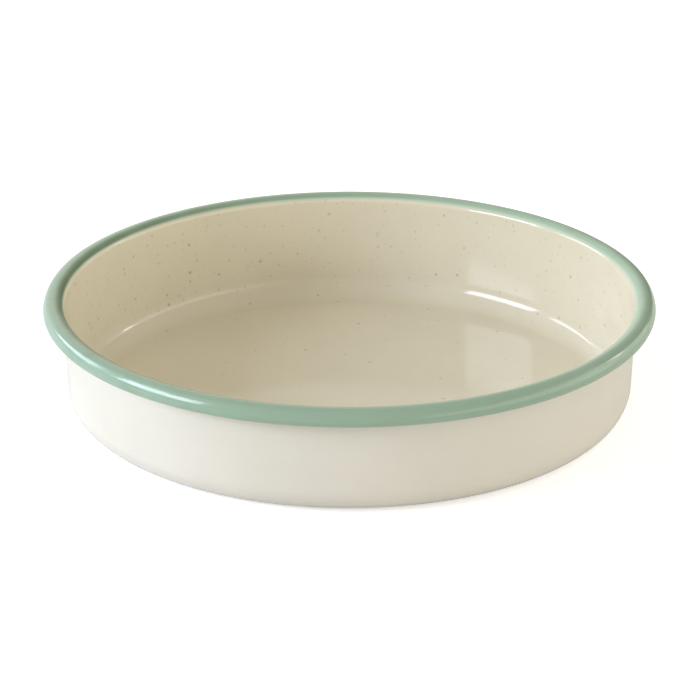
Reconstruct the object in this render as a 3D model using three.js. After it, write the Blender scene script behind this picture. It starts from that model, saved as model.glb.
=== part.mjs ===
// A round enamelled baking dish: one pressed steel shell with a rolled rim, and the
// three enamel coats that are fired onto it. Millimetres, +Z up, origin at the middle
// of the underside.
//
// The shell is one sheet, so its section is one line of points with normals, from the
// middle of the floor, round the corner, up the wall, over the lip and round the bead.
// Each piece is the space between two offsets of that line, turned about the Z axis.
import * as THREE from 'three';

// Sizes over the finished enamel
const MOUTH_DIAMETER = 260; // inside the wall, where the lip begins
const DISH_HEIGHT = 53;
const CORNER_RADIUS = 11; // inside, between floor and wall
const BEAD_DIAMETER = 8; // the rolled rim
const BEAD_STANDOFF = 2; // from the mouth to the inner side of the bead
const COLOUR_LINE_DROP = 2.3; // from the top of the rim to the edge of the green, inside
const WALL_DRAFT = 2; // degrees that the wall leans out, so that the pressing leaves its die
const CURL_END = -150; // degrees round the bead, from its outermost point, where the sheet stops

// Thicknesses
const STEEL_THICKNESS = 0.7;
const INTERIOR_COAT = 0.25;
const EXTERIOR_COAT = 0.25;
const RIM_COAT = 0.25;
const BOND_GAP = 0.02; // between the steel and a coat

// Fineness of the facets
const SEGMENTS = 60; // round the dish
const CORNER_STEPS = 5;
const LIP_STEPS = 3; // on each side of the colour line
const BEAD_STEPS = 4; // from the top of the bead to its outermost point
const CURL_STEPS = 6; // from there under to the cut edge

const radians = THREE.MathUtils.degToRad;
const polar = (degrees) => new THREE.Vector2(Math.cos(radians(degrees)), Math.sin(radians(degrees)));

// A station is a point on the upper face of the steel and the normal that points away from it.
const station = (point, normal) => ({ point, normal });

// Stations along an arc. The face looks away from the centre of a convex arc, and into a hollow one.
function arcStations(centre, radius, from, to, steps, hollow = false) {
  const stations = [];
  for (let i = 0; i <= steps; i++) {
    const out = polar(THREE.MathUtils.lerp(from, to, i / steps));
    const point = centre.clone().addScaledVector(out, radius);
    stations.push(station(point, hollow ? out.clone().negate() : out));
  }
  return stations;
}

// The sheet's line, laid out inwards from the finished sizes.
function layOutSheet() {
  const interior = INTERIOR_COAT + BOND_GAP;
  const beadFinished = BEAD_DIAMETER / 2;
  const beadRadius = beadFinished - RIM_COAT - BOND_GAP;
  const beadCentre = new THREE.Vector2(
    MOUTH_DIAMETER / 2 + BEAD_STANDOFF + beadFinished,
    DISH_HEIGHT - beadFinished,
  );

  // The lip is a wider arc that meets the bead at its top and the wall at its inner side.
  const lipFinished = BEAD_STANDOFF + beadFinished;
  const lipRadius = lipFinished - interior;
  const lipCentre = new THREE.Vector2(beadCentre.x, beadCentre.y + beadRadius - lipRadius);
  const top = 90;
  const outermost = 0;
  const wallAngle = 180 - WALL_DRAFT;
  const colourAngle = 180 - THREE.MathUtils.radToDeg(Math.asin(1 - COLOUR_LINE_DROP / lipFinished));

  // The corner is tangent to the floor and to the leaning wall.
  const floorHeight = EXTERIOR_COAT + BOND_GAP + STEEL_THICKNESS;
  const cornerRadius = CORNER_RADIUS + interior;
  const inward = polar(wallAngle);
  const wallDistance = inward.dot(lipCentre) + lipRadius;
  const cornerHeight = floorHeight + cornerRadius;
  const cornerCentre = new THREE.Vector2(
    (wallDistance + cornerRadius - inward.y * cornerHeight) / inward.x,
    cornerHeight,
  );

  const floor = [station(new THREE.Vector2(0, floorHeight), polar(top))];
  const corner = arcStations(cornerCentre, cornerRadius, -90, -WALL_DRAFT, CORNER_STEPS, true);
  const innerLip = arcStations(lipCentre, lipRadius, wallAngle, colourAngle, LIP_STEPS);
  const outerLip = arcStations(lipCentre, lipRadius, colourAngle, top, LIP_STEPS);
  const bead = arcStations(beadCentre, beadRadius, top, outermost, BEAD_STEPS);
  const curl = arcStations(beadCentre, beadRadius, outermost, CURL_END, CURL_STEPS);
  const bowl = [...floor, ...corner, ...innerLip];
  const rim = [...outerLip, ...bead.slice(1), ...curl.slice(1)];
  return {
    whole: [...bowl, ...rim.slice(1)],
    bowl,
    rim,
    curlDirection: polar(CURL_END - 90),
  };
}

// The sheet's line moved along its normals.
const offset = (stations, distance) =>
  stations.map(({ point, normal }) => point.clone().addScaledVector(normal, distance));

// The space between two offsets of a line, as a closed section in the order that turns outwards.
const layer = (stations, low, high) => [...offset(stations, low), ...offset(stations, high).reverse()];

// A section turned about the Z axis. One that doesn't start on the axis closes on itself.
function turned(name, section, material) {
  const onAxis = section[0].x === 0;
  const points = onAxis ? section : [...section, section[0].clone()];
  const geometry = new THREE.LatheGeometry(points, SEGMENTS).rotateX(Math.PI / 2);
  const mesh = new THREE.Mesh(geometry, material);
  mesh.name = name;
  return mesh;
}

const enamel = (color) => new THREE.MeshStandardMaterial({ color, roughness: 0.12, metalness: 0 });
const sheet = layOutSheet();

// Pressed shell: floor, wall and rolled rim in one piece of sheet steel.
function steelShell() {
  const material = new THREE.MeshStandardMaterial({ color: 0x85878a, roughness: 0.45, metalness: 1 });
  return turned('steel_shell', layer(sheet.whole, -STEEL_THICKNESS, 0), material);
}

// Speckled cream coat: floor and wall up to the colour line on the lip.
function interiorEnamel() {
  const section = layer(sheet.bowl, BOND_GAP, BOND_GAP + INTERIOR_COAT);
  return turned('interior_enamel', section, enamel(0xe2d9c6));
}

// Plain cream coat: underside and wall, up inside the rolled rim as high as the colour line.
function exteriorEnamel() {
  const steelBack = -STEEL_THICKNESS - BOND_GAP;
  const section = layer(sheet.bowl, steelBack - EXTERIOR_COAT, steelBack);
  return turned('exterior_enamel', section, enamel(0xf0ebdf));
}

// Green coat: from the colour line over the bead, and round the cut edge of the curl.
function rimEnamel() {
  const edge = sheet.rim.at(-1);
  const beyond = (depth, reach) =>
    edge.point.clone().addScaledVector(edge.normal, depth).addScaledVector(sheet.curlDirection, reach);
  const underCoat = offset(sheet.rim, BOND_GAP);
  const roundTheEdge = [
    beyond(BOND_GAP, BOND_GAP),
    beyond(-STEEL_THICKNESS, BOND_GAP),
    beyond(-STEEL_THICKNESS, BOND_GAP + RIM_COAT),
    beyond(BOND_GAP + RIM_COAT, BOND_GAP + RIM_COAT),
  ];
  const face = offset(sheet.rim, BOND_GAP + RIM_COAT).reverse();
  return turned('rim_enamel', [...underCoat, ...roundTheEdge, ...face], enamel(0x93b59f));
}

const dish = new THREE.Group();
dish.add(steelShell(), interiorEnamel(), exteriorEnamel(), rimEnamel());

export default dish;
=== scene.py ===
import math

import bmesh
import bpy
from mathutils import Matrix, Vector


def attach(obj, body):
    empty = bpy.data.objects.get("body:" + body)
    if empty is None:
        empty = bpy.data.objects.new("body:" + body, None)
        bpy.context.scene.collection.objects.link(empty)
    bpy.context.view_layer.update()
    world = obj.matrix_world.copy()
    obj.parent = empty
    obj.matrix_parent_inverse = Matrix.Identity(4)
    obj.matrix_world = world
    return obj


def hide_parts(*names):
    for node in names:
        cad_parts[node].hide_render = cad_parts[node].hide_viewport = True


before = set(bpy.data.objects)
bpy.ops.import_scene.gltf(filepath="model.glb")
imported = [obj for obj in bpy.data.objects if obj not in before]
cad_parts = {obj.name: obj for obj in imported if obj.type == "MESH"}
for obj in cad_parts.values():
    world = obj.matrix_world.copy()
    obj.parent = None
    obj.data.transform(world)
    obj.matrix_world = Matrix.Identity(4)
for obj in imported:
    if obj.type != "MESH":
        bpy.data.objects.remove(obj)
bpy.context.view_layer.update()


# Pressed steel shell. One disc of mild steel sheet is drawn into floor, wall and lip in a
# single piece, and its edge is rolled outwards and down into a hollow curl with no wire.
# The bare sheet only shows inside that curl, grey and scaled by the enamelling fires.
MM = 0.001
DISH_HEIGHT = 53 * MM
CORNER_RADIUS = 11 * MM
CREST_RADIUS = 135.2 * MM
LIP_BEND = 3.64 * MM
TOP_BEND = 6.6 * MM
SHOULDER_BEND = 1.35 * MM
FACE_BEND = 7.15 * MM
CURL_BEND = 3.4 * MM
SHEET_BUILD = 1.24 * MM
COAT_THICKNESS = 0.27 * MM
STEEL_BACK = SHEET_BUILD - COAT_THICKNESS
WALL_DRAFT = math.radians(2)
LIP_FOOT = math.radians(180) - WALL_DRAFT
LIP_END = math.radians(120)
TOP_END = math.radians(65)
SHOULDER_END = math.radians(40)
FACE_END = math.radians(15)
CURL_END = math.radians(-150)

FLAT_END = 0.5 * MM
MERGE_DISTANCE = 0.001 * MM
SHARP_EDGE = math.radians(50)
TURN_STEPS = 320
CORNER_STEPS = 18
LIP_STEPS = 12
RIM_STEPS = 12
CURL_STEPS = 28


def towards(angle):
    return Vector((math.cos(angle), 0, math.sin(angle)))


def on_arc(centre, radius, angle):
    return centre + radius * towards(angle)


top_centre = Vector((CREST_RADIUS, 0, DISH_HEIGHT - TOP_BEND))
lip_centre = on_arc(top_centre, TOP_BEND - LIP_BEND, LIP_END)
shoulder_centre = on_arc(top_centre, TOP_BEND - SHOULDER_BEND, TOP_END)
face_centre = on_arc(shoulder_centre, SHOULDER_BEND - FACE_BEND, SHOULDER_END)
curl_centre = on_arc(face_centre, FACE_BEND - CURL_BEND, FACE_END)
corner_height = SHEET_BUILD + CORNER_RADIUS
wall_lean = towards(LIP_FOOT)
wall_distance = wall_lean.dot(lip_centre) + LIP_BEND
corner_centre = Vector((
    (wall_distance + CORNER_RADIUS - wall_lean.z * corner_height) / wall_lean.x,
    0,
    corner_height,
))


def start_line(bm, place):
    return bmesh.ops.create_vert(bm, co=place)["vert"][0]


def run_to(bm, point, place):
    drawn = bmesh.ops.extrude_vert_indiv(bm, verts=[point])["verts"][0]
    drawn.co = place
    return drawn


def run_flat(bm, point, place):
    """A straight run with a short piece at either end, to keep it flat right up to the bends."""
    end = Vector(place)
    along = (end - point.co).normalized() * FLAT_END
    for stop in (point.co + along, end - along, end):
        point = run_to(bm, point, stop)
    return point


def bend_round(bm, point, centre, angle, steps):
    drawn = bmesh.ops.spin(
        bm, geom=[point], cent=centre, axis=(0, -1, 0), angle=angle, steps=steps,
        use_merge=False, use_duplicate=False,
    )["geom_last"]
    return next(part for part in drawn if isinstance(part, bmesh.types.BMVert))


def draw_bowl(bm, depth, lip_end):
    """The line of the sheet at a depth below its finished upper face, from the axis to the lip."""
    floor = SHEET_BUILD - depth
    point = start_line(bm, (0, 0, floor))
    point = run_flat(bm, point, (corner_centre.x, 0, floor))
    point = bend_round(bm, point, corner_centre, math.radians(90) - WALL_DRAFT, CORNER_STEPS)
    point = run_flat(bm, point, on_arc(lip_centre, LIP_BEND - depth, LIP_FOOT))
    return bend_round(bm, point, lip_centre, lip_end - LIP_FOOT, LIP_STEPS)


def draw_rim(bm, point):
    """The line of the sheet from the lip over the top, down the outer face and round the curl."""
    point = bend_round(bm, point, top_centre, TOP_END - LIP_END, RIM_STEPS)
    point = bend_round(bm, point, shoulder_centre, SHOULDER_END - TOP_END, RIM_STEPS)
    point = bend_round(bm, point, face_centre, FACE_END - SHOULDER_END, RIM_STEPS)
    return bend_round(bm, point, curl_centre, CURL_END - FACE_END, CURL_STEPS)


def join_ends(bm, one, other):
    bmesh.ops.contextual_create(bm, geom=[one, other])


def turn_round(bm):
    """Spin the drawn section about the dish's axis and close its seam and its pole."""
    bmesh.ops.spin(
        bm, geom=bm.verts[:] + bm.edges[:], cent=(0, 0, 0), axis=(0, 0, 1), angle=math.tau,
        steps=TURN_STEPS, use_merge=True, use_duplicate=False,
    )
    bmesh.ops.remove_doubles(bm, verts=bm.verts[:], dist=MERGE_DISTANCE)
    bmesh.ops.recalc_face_normals(bm, faces=bm.faces[:])


def finish_piece(bm, name, node, material):
    for face in bm.faces:
        face.smooth = True
    mesh = bpy.data.meshes.new(name)
    bm.to_mesh(mesh)
    bm.free()
    mesh.materials.append(material)
    mesh.set_sharp_from_angle(angle=SHARP_EDGE)
    piece = bpy.data.objects.new(name, mesh)
    bpy.context.scene.collection.objects.link(piece)
    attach(piece, "root")
    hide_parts(node)


def srgb(red, green, blue):
    """A colour given on a 0 to 255 scale, as the shader's linear colour."""
    def linear(value):
        value /= 255
        return value / 12.92 if value <= 0.04045 else ((value + 0.055) / 1.055) ** 2.4
    return (linear(red), linear(green), linear(blue), 1)


def new_material(name):
    material = bpy.data.materials.new(name)
    material.use_nodes = True
    nodes = material.node_tree.nodes
    nodes.clear()
    output = nodes.new("ShaderNodeOutputMaterial")
    surface = nodes.new("ShaderNodeBsdfPrincipled")
    material.node_tree.links.new(surface.outputs["BSDF"], output.inputs["Surface"])
    return material, surface


def add(tree, kind, values=None, **settings):
    """A node with its settings and its unlinked sockets filled in."""
    node = tree.nodes.new("ShaderNode" + kind)
    for key, value in settings.items():
        setattr(node, key, value)
    for key, value in (values or {}).items():
        if isinstance(value, bpy.types.NodeSocket):
            tree.links.new(value, node.inputs[key])
        else:
            node.inputs[key].default_value = value
    return node


def ramp_between(tree, amount, low, high):
    """A colour that goes from low to high over the middle of a noise's range."""
    ramp = add(tree, "ValToRGB", {"Fac": amount})
    for stop, position, colour in zip(ramp.color_ramp.elements, (0.3, 0.7), (low, high)):
        stop.position = position
        stop.color = colour
    return ramp.outputs["Color"]


SCALE_DARK = srgb(92, 94, 99)
SCALE_LIGHT = srgb(138, 140, 143)


def make_steel():
    material, surface = new_material("scaled_sheet_steel")
    tree = material.node_tree
    place = add(tree, "TexCoord").outputs["Object"]
    blotches = add(tree, "TexNoise", {"Vector": place, "Scale": 90, "Detail": 6, "Roughness": 0.6})
    grain = add(tree, "TexNoise", {"Vector": place, "Scale": 2600, "Detail": 3}).outputs["Fac"]
    colour = ramp_between(tree, blotches.outputs["Fac"], SCALE_DARK, SCALE_LIGHT)
    rough = add(tree, "MapRange", {"Value": grain, "To Min": 0.35, "To Max": 0.6})
    bump = add(tree, "Bump", {"Height": grain, "Strength": 0.2, "Distance": 0.02 * MM})
    tree.links.new(colour, surface.inputs["Base Color"])
    tree.links.new(rough.outputs["Result"], surface.inputs["Roughness"])
    tree.links.new(bump.outputs["Normal"], surface.inputs["Normal"])
    surface.inputs["Metallic"].default_value = 1
    return material


section = bmesh.new()
edges = []
for depth in (COAT_THICKNESS, STEEL_BACK):
    point = draw_bowl(section, depth, LIP_END)
    edges.append(draw_rim(section, point))
join_ends(section, *edges)
turn_round(section)
finish_piece(section, "pressed_steel_shell", "steel_shell", make_steel())


# Speckled cream enamel inside. A glass coat is sprayed on the floor and the wall as far as the
# lip and fired; brown and olive flecks of iron are scattered through it, and it flows into a
# gloss that is very slightly rippled.
COLOUR_LINE_DROP = 2.3 * MM
COLOUR_LINE_WAVER = (
    (0.16, 3, 0.4),
    (0.12, 7, 2.1),
    (0.10, 13, 4.0),
    (0.05, 29, 1.3),
)
CREAM_INSIDE = srgb(229, 221, 202)
FLECK_BROWN = srgb(98, 84, 62)
FLECK_OLIVE = srgb(128, 122, 96)
BROWN_CELL, BROWN_SIZE, BROWN_STRENGTH = 4.9 * MM, 1.15 * MM, 0.42
OLIVE_CELL, OLIVE_SIZE, OLIVE_STRENGTH = 3.0 * MM, 0.75 * MM, 0.32
BARE_FLOOR = 0.72
BARE_WALL = -0.15
INSIDE_RIPPLE = 0.03 * MM
INSIDE_GLOSS = 0.09
ENAMEL_INDEX = 1.52
TONE_SHARE = 0.06


def lip_angle_at(drop):
    return math.pi - math.asin((DISH_HEIGHT - drop - lip_centre.z) / LIP_BEND)


COLOUR_LINE = lip_angle_at(COLOUR_LINE_DROP)


def waver_colour_line(bm, fixed_end):
    """Slide the coat's edge along the lip, so that it wanders a little as it was brushed."""
    for vert in bm.verts:
        out = Vector((math.hypot(vert.co.x, vert.co.y), 0, vert.co.z)) - lip_centre
        angle = math.atan2(out.z, out.x)
        on_lip = out.length < 1.01 * LIP_BEND and LIP_END < angle < LIP_FOOT
        if not on_lip:
            continue
        turn = math.atan2(vert.co.y, vert.co.x)
        drop = COLOUR_LINE_DROP + MM * sum(
            size * math.sin(count * turn + phase) for size, count, phase in COLOUR_LINE_WAVER
        )
        share = (angle - fixed_end) / (COLOUR_LINE - fixed_end)
        angle = fixed_end + share * (lip_angle_at(drop) - fixed_end)
        place = on_arc(lip_centre, out.length, angle)
        vert.co = Matrix.Rotation(turn, 3, "Z") @ place


def make_enamel_surface():
    """How fired enamel lies: a slow ripple, fine orange peel, and a tone that drifts."""
    group = bpy.data.node_groups.new("fired_enamel_surface", "ShaderNodeTree")
    sockets = group.interface
    sockets.new_socket("Position", in_out="INPUT", socket_type="NodeSocketVector")
    defaults = {"Ripple Scale": 45, "Peel Scale": 420, "Peel Share": 0.2, "Gloss": 0.08}
    for name, value in defaults.items():
        socket = sockets.new_socket(name, in_out="INPUT", socket_type="NodeSocketFloat")
        socket.default_value = value
    for name in ("Height", "Roughness", "Tone"):
        sockets.new_socket(name, in_out="OUTPUT", socket_type="NodeSocketFloat")
    given = group.nodes.new("NodeGroupInput").outputs
    place = given["Position"]
    ripple = add(group, "TexNoise", {"Vector": place, "Scale": given["Ripple Scale"], "Detail": 1})
    peel = add(group, "TexNoise", {"Vector": place, "Scale": given["Peel Scale"], "Detail": 2})
    peel_part = add(group, "Math", {
        0: peel.outputs["Fac"], 1: given["Peel Share"],
    }, operation="MULTIPLY")
    height = add(group, "Math", {
        0: ripple.outputs["Fac"], 1: peel_part.outputs[0],
    }, operation="ADD")
    haze = add(group, "TexNoise", {"Vector": place, "Scale": 150, "Detail": 4})
    rough_low = add(group, "Math", {0: given["Gloss"], 1: 0.75}, operation="MULTIPLY")
    rough_high = add(group, "Math", {0: given["Gloss"], 1: 1.35}, operation="MULTIPLY")
    rough = add(group, "MapRange", {
        "Value": haze.outputs["Fac"], "From Min": 0.3, "From Max": 0.7,
        "To Min": rough_low.outputs[0], "To Max": rough_high.outputs[0],
    })
    drift = add(group, "TexNoise", {"Vector": place, "Scale": 18, "Detail": 5, "Roughness": 0.55})
    tone = add(group, "MapRange", {"Value": drift.outputs["Fac"], "From Min": 0.3, "From Max": 0.7})
    result = group.nodes.new("NodeGroupOutput").inputs
    group.links.new(height.outputs[0], result["Height"])
    group.links.new(rough.outputs["Result"], result["Roughness"])
    group.links.new(tone.outputs["Result"], result["Tone"])
    return group


enamel_surface = make_enamel_surface()


def mix_colours(tree, share, one, other, blend="MIX"):
    mixed = add(tree, "Mix", {0: share, 6: one, 7: other}, data_type="RGBA", blend_type=blend)
    return mixed.outputs[2]


def lay_enamel(material, surface, place, colour, ripple_height, gloss):
    """Put a colour socket on the shader with the fired surface over it."""
    tree = material.node_tree
    fired = tree.nodes.new("ShaderNodeGroup")
    fired.node_tree = enamel_surface
    fired.inputs["Gloss"].default_value = gloss
    tree.links.new(place, fired.inputs["Position"])
    tone = fired.outputs["Tone"]
    grey = add(tree, "CombineColor", {"Red": tone, "Green": tone, "Blue": tone})
    shaded = mix_colours(tree, TONE_SHARE, colour, grey.outputs["Color"], "MULTIPLY")
    bump = add(tree, "Bump", {
        "Height": fired.outputs["Height"], "Distance": ripple_height, "Strength": 1,
    })
    tree.links.new(shaded, surface.inputs["Base Color"])
    tree.links.new(fired.outputs["Roughness"], surface.inputs["Roughness"])
    tree.links.new(bump.outputs["Normal"], surface.inputs["Normal"])
    surface.inputs["IOR"].default_value = ENAMEL_INDEX


def scatter_flecks(tree, place, colour, fleck, bare, cell, size, strength):
    """Dark dots in a colour: one in each cell, of a size and strength of its own, with the
    weakest left out where it is barer."""
    wobble = add(tree, "TexNoise", {"Vector": place, "Scale": 1800, "Detail": 1})
    shift = add(tree, "VectorMath", {
        0: wobble.outputs["Color"], 1: (0.5, 0.5, 0.5),
    }, operation="SUBTRACT")
    shift = add(tree, "VectorMath", {0: shift.outputs[0], "Scale": 0.5 * MM}, operation="SCALE")
    moved = add(tree, "VectorMath", {0: place, 1: shift.outputs[0]}, operation="ADD")
    cells = add(tree, "TexVoronoi", {"Vector": moved.outputs[0], "Scale": 1 / cell})
    chance = add(tree, "SeparateColor", {"Color": cells.outputs["Color"]})
    reach = add(tree, "MapRange", {
        "Value": chance.outputs["Red"], "To Min": 0.35 * size / cell, "To Max": size / cell,
    })
    inside = add(tree, "Math", {
        0: reach.outputs["Result"], 1: cells.outputs["Distance"],
    }, operation="SUBTRACT")
    soft = add(tree, "Math", {
        0: inside.outputs[0], 1: 0.5 * size / cell,
    }, operation="DIVIDE", use_clamp=True)
    force = add(tree, "MapRange", {
        "Value": chance.outputs["Green"], "From Min": bare, "To Max": strength,
    })
    amount = add(tree, "Math", {
        0: soft.outputs[0], 1: force.outputs["Result"],
    }, operation="MULTIPLY")
    return mix_colours(tree, amount.outputs[0], colour, fleck)


def make_speckled_enamel():
    material, surface = new_material("speckled_cream_enamel")
    tree = material.node_tree
    place = add(tree, "TexCoord").outputs["Object"]
    height = add(tree, "SeparateXYZ", {"Vector": place}).outputs["Z"]
    bare = add(tree, "MapRange", {
        "Value": height, "From Min": 2 * MM, "From Max": 14 * MM,
        "To Min": BARE_FLOOR, "To Max": BARE_WALL,
    }).outputs["Result"]
    colour = scatter_flecks(
        tree, place, CREAM_INSIDE, FLECK_OLIVE, bare, OLIVE_CELL, OLIVE_SIZE, OLIVE_STRENGTH,
    )
    colour = scatter_flecks(
        tree, place, colour, FLECK_BROWN, bare, BROWN_CELL, BROWN_SIZE, BROWN_STRENGTH,
    )
    lay_enamel(material, surface, place, colour, INSIDE_RIPPLE, INSIDE_GLOSS)
    return material


section = bmesh.new()
edges = [draw_bowl(section, depth, COLOUR_LINE) for depth in (0, COAT_THICKNESS)]
join_ends(section, *edges)
turn_round(section)
waver_colour_line(section, LIP_FOOT)
finish_piece(
    section, "speckled_interior_enamel", "interior_enamel",
    make_speckled_enamel(),
)


# Plain cream enamel outside. The same glass without flecks covers the underside and the outer
# wall, and runs up behind the rolled rim where it can't be seen.
CREAM_OUTSIDE = srgb(233, 227, 218)
CREAM_CLOUDED = srgb(231, 225, 215)
OUTSIDE_RIPPLE = 0.03 * MM
OUTSIDE_GLOSS = 0.07


def make_plain_enamel():
    material, surface = new_material("plain_cream_enamel")
    tree = material.node_tree
    place = add(tree, "TexCoord").outputs["Object"]
    clouds = add(tree, "TexNoise", {"Vector": place, "Scale": 30, "Detail": 4})
    colour = ramp_between(tree, clouds.outputs["Fac"], CREAM_CLOUDED, CREAM_OUTSIDE)
    lay_enamel(material, surface, place, colour, OUTSIDE_RIPPLE, OUTSIDE_GLOSS)
    return material


section = bmesh.new()
edges = [draw_bowl(section, depth, COLOUR_LINE) for depth in (STEEL_BACK, SHEET_BUILD)]
join_ends(section, *edges)
turn_round(section)
finish_piece(
    section, "plain_exterior_enamel", "exterior_enamel", make_plain_enamel(),
)


# Green enamel on the rim. A coloured glass is brushed over the lip and the rolled edge after the
# cream, down to a line that wanders a little inside and round to the cut edge underneath. Its inner
# border has painted shade on the left, where it turns from the windows, and painted light on the
# right.
# The darker inner green is painted shade for the left of the rim and the paler one is painted light
# for the right.
GREEN_FULL = srgb(153, 179, 160)
GREEN_PAINTED_SHADE = srgb(116, 139, 113)
GREEN_PAINTED_LIGHT = srgb(172, 202, 181)
GREEN_EDGE = srgb(210, 216, 197)
SHADED_SIDE, LIT_SIDE = -115 * MM, 95 * MM
INNER_BORDER, OUTER_GREEN = 132.3 * MM, 135.8 * MM
COAT_FOOT = 130.55 * MM
COVER_ON_SHADED_SIDE, COVER_ON_LIT_SIDE = 131.5 * MM, 132.4 * MM
RIM_RIPPLE = 0.02 * MM
RIM_GLOSS = 0.14


def make_green_enamel():
    material, surface = new_material("green_rim_enamel")
    tree = material.node_tree
    place = add(tree, "TexCoord").outputs["Object"]
    axes = add(tree, "SeparateXYZ", {"Vector": place})
    flat = add(tree, "CombineXYZ", {"X": axes.outputs["X"], "Y": axes.outputs["Y"]})
    reach = add(tree, "VectorMath", {0: flat.outputs[0]}, operation="LENGTH")
    # Painted shade and light: the inner border goes from dark green on the left to pale on the
    # right across X, and the pale edge of the coat reaches further out on the right.
    lit_side_share = add(tree, "MapRange", {
        "Value": axes.outputs["X"], "From Min": SHADED_SIDE, "From Max": LIT_SIDE,
    }).outputs["Result"]
    inner_shade_and_light = mix_colours(tree, lit_side_share, GREEN_PAINTED_SHADE, GREEN_PAINTED_LIGHT)
    clouds = add(tree, "TexNoise", {"Vector": place, "Scale": 70, "Detail": 4})
    drift = add(tree, "MapRange", {
        "Value": clouds.outputs["Fac"], "From Min": 0.3, "From Max": 0.7,
        "To Min": -0.2, "To Max": 0.2,
    })
    outwards = add(tree, "MapRange", {
        "Value": reach.outputs["Value"], "From Min": INNER_BORDER, "From Max": OUTER_GREEN,
    }, interpolation_type="SMOOTHSTEP")
    spread = add(tree, "Math", {
        0: outwards.outputs["Result"], 1: drift.outputs["Result"],
    }, operation="ADD", use_clamp=True)
    green = mix_colours(tree, spread.outputs[0], inner_shade_and_light, GREEN_FULL)
    cover_end = add(tree, "MapRange", {
        "Value": lit_side_share, "To Min": COVER_ON_SHADED_SIDE, "To Max": COVER_ON_LIT_SIDE,
    })
    cover = add(tree, "MapRange", {
        "Value": reach.outputs["Value"],
        "From Min": COAT_FOOT, "From Max": cover_end.outputs["Result"],
    }, interpolation_type="SMOOTHSTEP")
    brushed = mix_colours(tree, cover.outputs["Result"], GREEN_EDGE, green)
    lay_enamel(material, surface, place, brushed, RIM_RIPPLE, RIM_GLOSS)
    return material


section = bmesh.new()
edges = []
starts = []
for depth in (0, COAT_THICKNESS):
    point = start_line(section, on_arc(lip_centre, LIP_BEND - depth, COLOUR_LINE))
    starts.append(point)
    point = bend_round(section, point, lip_centre, LIP_END - COLOUR_LINE, LIP_STEPS)
    edges.append(draw_rim(section, point))
join_ends(section, *starts)
edge_tangent = Vector((math.sin(CURL_END), 0, -math.cos(CURL_END))) * COAT_THICKNESS
steel_edge = CURL_BEND - STEEL_BACK
outer_end = on_arc(curl_centre, CURL_BEND, CURL_END)
inner_end = on_arc(curl_centre, steel_edge, CURL_END)
outer_corner = run_to(section, edges[0], outer_end + edge_tangent)
inner_corner = run_to(section, outer_corner, inner_end + edge_tangent)
inner_foot = run_to(section, inner_corner, inner_end)
join_ends(section, inner_foot, edges[1])
turn_round(section)
waver_colour_line(section, LIP_END)
finish_piece(section, "green_rim_enamel", "rim_enamel", make_green_enamel())


# Studio. A white table top under the dish, two windows of soft daylight on the left, a pale lit
# wall with one small window on the right, and a warm room that is dimmer overhead and in a corner.
TABLE_CLEARANCE = 0.2 * MM
TABLE_REACH = 6
TABLE_WHITE = (0.86, 0.86, 0.86, 1)
LIFT_SEEN = 0.55
LIFT_MIRRORED = 0.10
ROOM_WARMTH = (1.0, 0.955, 0.815, 1)
ROOM_FRONT = 0.70
ROOM_BACK = 1.06
ROOM_LEFT = 0.66
ROOM_RIGHT = 0.85
ROOM_CORNER = 0.10
ROOM_CEILING = 0.56
CORNER_DIRECTION = Vector((0.60, 0.78, 0.18)).normalized()
DAYLIGHT = (0.76, 0.86, 1)
PALE_WALL = (1, 0.985, 0.92)
WARM_WINDOW = (1, 0.97, 0.9)
VIEW_ELEVATION = 0.389
VIEW_DISTANCE = 1.40
LOOK_HEIGHT = 26.5 * MM


def make_table():
    material = bpy.data.materials.new("white_table")
    material.use_nodes = True
    tree = material.node_tree
    tree.nodes.clear()
    output = tree.nodes.new("ShaderNodeOutputMaterial")
    paper = add(tree, "BsdfDiffuse", {"Color": TABLE_WHITE})
    path = add(tree, "LightPath").outputs
    seen = add(tree, "Math", {0: path["Is Camera Ray"], 1: LIFT_SEEN}, operation="MULTIPLY")
    mirrored = add(tree, "Math", {0: path["Is Glossy Ray"], 1: LIFT_MIRRORED}, operation="MULTIPLY")
    lift = add(tree, "Math", {0: seen.outputs[0], 1: mirrored.outputs[0]}, operation="MAXIMUM")
    glow = add(tree, "Emission", {"Strength": lift.outputs[0]})
    both = add(tree, "AddShader", {0: paper.outputs[0], 1: glow.outputs[0]})
    tree.links.new(both.outputs[0], output.inputs["Surface"])
    return material


table = bmesh.new()
bmesh.ops.create_grid(table, x_segments=1, y_segments=1, size=TABLE_REACH)
bmesh.ops.translate(table, verts=table.verts[:], vec=(0, 0, -TABLE_CLEARANCE))
table_mesh = bpy.data.meshes.new("table_top")
table.to_mesh(table_mesh)
table.free()
table_mesh.materials.append(make_table())
table_top = bpy.data.objects.new("table_top", table_mesh)
bpy.context.scene.collection.objects.link(table_top)

world = bpy.data.worlds.new("room_light")
bpy.context.scene.world = world
world.use_nodes = True
room = world.node_tree
room.nodes.clear()
room_output = room.nodes.new("ShaderNodeOutputWorld")


def ease_room(way, start, end, before, after):
    """The room's light going softly from one level to another along a direction."""
    return add(room, "MapRange", {
        "Value": way, "From Min": start, "From Max": end, "To Min": before, "To Max": after,
    }, interpolation_type="SMOOTHSTEP").outputs["Result"]


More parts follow.
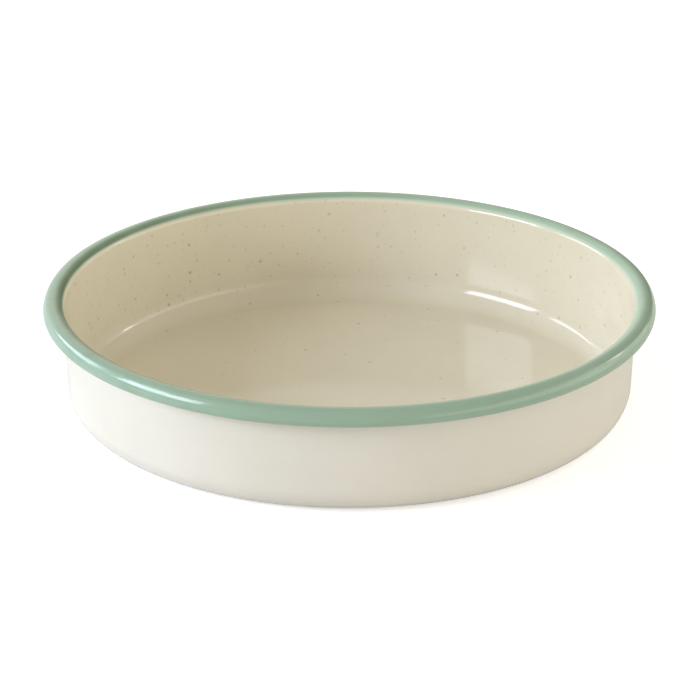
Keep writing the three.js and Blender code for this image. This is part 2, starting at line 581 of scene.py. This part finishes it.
room_way = add(room, "TexCoord").outputs["Generated"]
room_axes = add(room, "SeparateXYZ", {"Vector": room_way}).outputs
to_corner = add(room, "VectorMath", {
    0: room_way, 1: CORNER_DIRECTION,
}, operation="DOT_PRODUCT").outputs["Value"]
room_level = ease_room(room_axes["Y"], -0.6, 0.8, ROOM_FRONT, ROOM_BACK)
room_level = ease_room(room_axes["X"], -0.3, -1.0, room_level, ROOM_LEFT)
room_level = ease_room(room_axes["X"], 0.3, 1.0, room_level, ROOM_RIGHT)
room_level = ease_room(to_corner, 0.75, 0.97, room_level, ROOM_CORNER)
room_level = ease_room(room_axes["Z"], 0.30, 0.75, room_level, ROOM_CEILING)
room_light = add(room, "Background", {"Color": ROOM_WARMTH, "Strength": room_level})
room.links.new(room_light.outputs[0], room_output.inputs["Surface"])


def hang_window(name, near, far, radiance, colour):
    """An upright soft light between two opposite corners that lie over one line on the floor."""
    near, far = Vector(near), Vector(far)
    middle = (near + far) / 2
    up = Vector((0, 0, 1))
    along = Vector((far.x - near.x, far.y - near.y, 0))
    light = bpy.data.lights.new(name, "AREA")
    light.shape = "RECTANGLE"
    light.size = along.length
    light.size_y = abs(far.z - near.z)
    light.energy = radiance * math.pi * light.size * light.size_y
    light.color = colour
    lamp = bpy.data.objects.new(name, light)
    lit_side_share = along.normalized()
    turn = Matrix((lit_side_share, up, lit_side_share.cross(up))).transposed().to_4x4()
    if (turn @ up).dot(Vector((middle.x, middle.y, 0))) < 0:
        turn = turn @ Matrix.Rotation(math.pi, 4, "Y")
    lamp.matrix_world = Matrix.Translation(middle) @ turn
    lamp.visible_camera = False
    bpy.context.scene.collection.objects.link(lamp)


hang_window("left_window_front", (-1.28, -0.93, 0.38), (-1.61, -0.03, 0.91), 11.6, DAYLIGHT)
hang_window("left_window_back", (-1.5, 0.27, 0.30), (-1.5, 1.25, 0.74), 5.9, DAYLIGHT)
hang_window("right_wall", (1.55, -3.2, 0.02), (1.55, 1.7, 0.74), 1.30, PALE_WALL)
hang_window("right_window", (1.5, 0.50, 0.42), (1.5, 0.72, 0.66), 4.5, WARM_WINDOW)

camera_data = bpy.data.cameras.new("camera")
camera_data.lens = 156.02
camera_data.sensor_width = 36
camera_data.shift_x = 0.00086
camera_data.shift_y = -0.00864
camera = bpy.data.objects.new("camera", camera_data)
camera.location = (
    0,
    -VIEW_DISTANCE * math.cos(VIEW_ELEVATION),
    LOOK_HEIGHT + VIEW_DISTANCE * math.sin(VIEW_ELEVATION),
)
camera.rotation_euler = (math.pi / 2 - VIEW_ELEVATION, 0, 0)
bpy.context.scene.collection.objects.link(camera)
bpy.context.scene.camera = camera
bpy.context.scene.view_settings.view_transform = "Standard"
